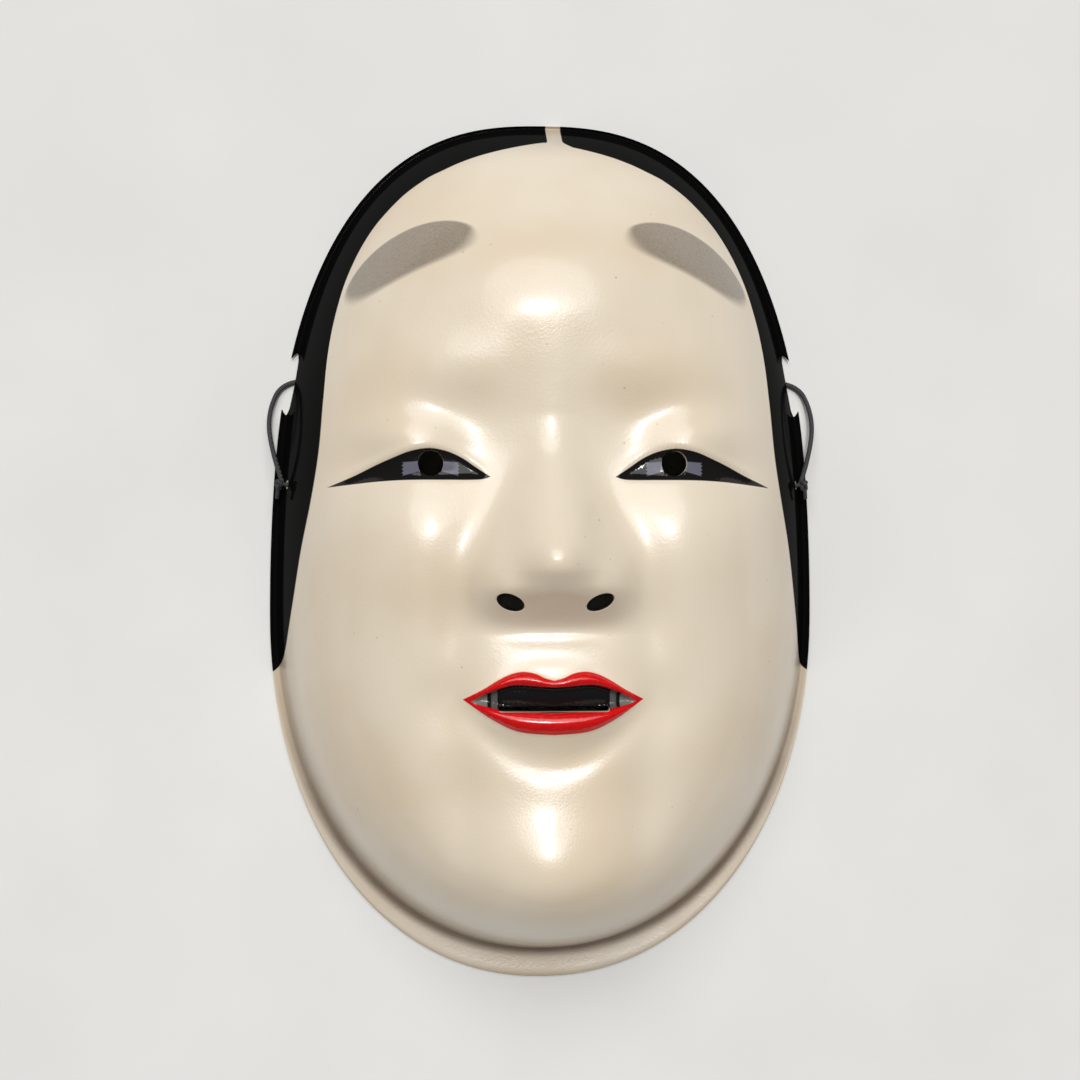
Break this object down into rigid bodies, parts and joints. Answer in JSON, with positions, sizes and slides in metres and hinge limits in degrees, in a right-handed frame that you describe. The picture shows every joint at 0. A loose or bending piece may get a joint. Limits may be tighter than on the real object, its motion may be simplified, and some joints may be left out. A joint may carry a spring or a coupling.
{
  "type": "noh mask",
  "caption": "Wearable young-woman noh mask, a thin moulded face with pierced pupils, nostrils and mouth, a flared rim and an elastic head cord knotted through its side holes.",
  "frame": {"origin": "centre of the rim's bounding box, on the plane the rim stands on", "axes": "+Z out of the face towards the viewer, +Y to the top of the head, +X to the viewer's right; the mask lies on its rim, face up"},
  "size_m": [0.1414, 0.22, 0.0681],
  "materials": {
    "face_plastic": "glossy",
    "elastic": "matte"
  },
  "bodies": {
    "root": {"face_shell": "face_plastic", "elastic_cord": "elastic", "right_knot": "elastic", "left_knot": "elastic"}
  },
  "joints": []
}
